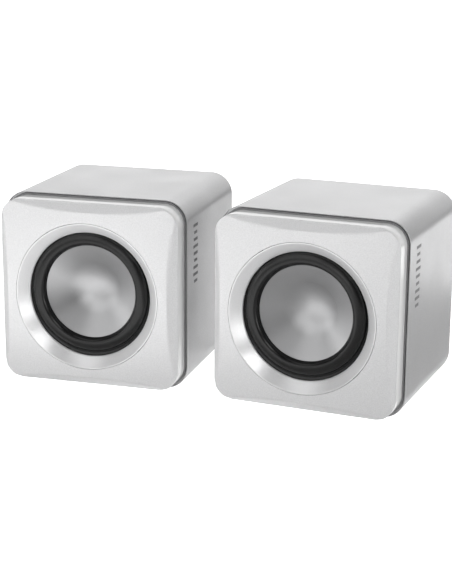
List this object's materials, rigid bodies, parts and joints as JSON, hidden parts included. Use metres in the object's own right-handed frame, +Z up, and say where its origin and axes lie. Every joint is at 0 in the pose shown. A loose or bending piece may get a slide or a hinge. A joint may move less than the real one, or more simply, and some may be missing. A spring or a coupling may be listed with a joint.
{
  "type": "desktop speaker pair",
  "caption": "Pair of small cube-shaped powered desktop speakers with a domed satin front plate, funnel trim ring and silver-coned driver.",
  "frame": {"origin": "middle of the pair's footprint, on the surface it stands on", "axes": "+Z up, -Y towards the listener (each speaker turned in by 3.5 degrees), +X to the right seen from the listener"},
  "size_m": [0.159, 0.0804, 0.0711],
  "materials": {
    "cabinet_paint": "satin silver-grey paint",
    "rear_plastic": "fine grain",
    "screw_steel": "blackened",
    "foot_rubber": "matt",
    "mark_print": "pad print",
    "accent_plastic": "satin",
    "white_gloss": "gloss",
    "plate_satin": "satin metallic",
    "ring_satin": "satin metallic",
    "basket_steel": "black enamel",
    "gasket_foam": "matt foam",
    "surround_rubber": "satin",
    "cone_paper": "metallic paint on paper",
    "spider_cloth": "resin-dipped weave",
    "former_film": "film",
    "coil_copper": "enamelled wire",
    "zinc_steel": "zinc plated",
    "ferrite": "ground ferrite",
    "phenolic": "laminate",
    "wire_sleeve": "PVC sleeve",
    "board_laminate": "solder mask",
    "chip_plastic": "moulded",
    "capacitor_sleeve": "shrink sleeve",
    "jack_green": "moulded",
    "jack_black": "moulded",
    "socket_steel": "drawn shell",
    "pot_body": "pressed can",
    "nut_steel": "plated",
    "shaft_metal": "turned",
    "knob_plastic": "moulded"
  },
  "bodies": {
    "right_speaker": {"right_cabinet_shell": "cabinet_paint", "right_rear_panel": "rear_plastic", "right_rear_screws": "screw_steel", "right_feet": "foot_rubber", "right_side_mark": "mark_print", "right_accent_band": "accent_plastic", "right_front_bezel": "white_gloss", "right_front_plate": "plate_satin", "right_trim_ring": "ring_satin", "right_front_screws": "screw_steel", "right_driver_basket": "basket_steel", "right_driver_gasket": "gasket_foam", "right_surround": "surround_rubber", "right_spider": "spider_cloth", "right_top_plate": "zinc_steel", "right_magnet": "ferrite", "right_yoke": "zinc_steel", "right_terminal_strip": "phenolic", "right_speaker_wires": "wire_sleeve", "amp_board": "board_laminate", "board_screws": "screw_steel", "amp_chip": "chip_plastic", "capacitors": "capacitor_sleeve", "line_in_jack": "jack_green", "speaker_out_jack": "jack_black", "power_socket": "socket_steel", "volume_pot": "pot_body", "pot_nut": "nut_steel"},
    "right_cone": {"right_cone": "cone_paper", "right_dust_cap": "cone_paper", "right_coil_former": "former_film", "right_voice_coil": "coil_copper"},
    "volume_knob": {"pot_shaft": "shaft_metal", "volume_knob": "knob_plastic"},
    "left_speaker": {"left_cabinet_shell": "cabinet_paint", "left_rear_panel": "rear_plastic", "left_rear_screws": "screw_steel", "left_feet": "foot_rubber", "left_side_mark": "mark_print", "left_accent_band": "accent_plastic", "left_front_bezel": "white_gloss", "left_front_plate": "plate_satin", "left_trim_ring": "ring_satin", "left_front_screws": "screw_steel", "left_driver_basket": "basket_steel", "left_driver_gasket": "gasket_foam", "left_surround": "surround_rubber", "left_spider": "spider_cloth", "left_top_plate": "zinc_steel", "left_magnet": "ferrite", "left_yoke": "zinc_steel", "left_terminal_strip": "phenolic", "left_speaker_wires": "wire_sleeve", "input_jack": "jack_black", "input_jack_nut": "nut_steel"},
    "left_cone": {"left_cone": "cone_paper", "left_dust_cap": "cone_paper", "left_coil_former": "former_film", "left_voice_coil": "coil_copper"}
  },
  "joints": [
    {"name": "right_cone_travel", "type": "slide", "parent": "right_speaker", "child": "right_cone", "axis": [-0.061, -0.9981, 0], "range_m": [-0.0015, 0.0015], "stiffness_N_per_m": 400, "deforming": ["right_surround", "right_spider"]},
    {"name": "left_cone_travel", "type": "slide", "parent": "left_speaker", "child": "left_cone", "axis": [0.061, -0.9981, 0], "range_m": [-0.0015, 0.0015], "stiffness_N_per_m": 400, "deforming": ["left_surround", "left_spider"]},
    {"name": "volume_turn", "type": "hinge", "parent": "right_speaker", "child": "volume_knob", "pos_m": [0.06267, 0.03036, 0.0201], "axis": [0.061, 0.9981, 0], "range_deg": [-150, 150]},
    {"name": "left_speaker_placing", "type": "slide", "parent": "right_speaker", "child": "left_speaker", "axis": [-1, 0, 0], "range_m": [0, 0.3]}
  ]
}
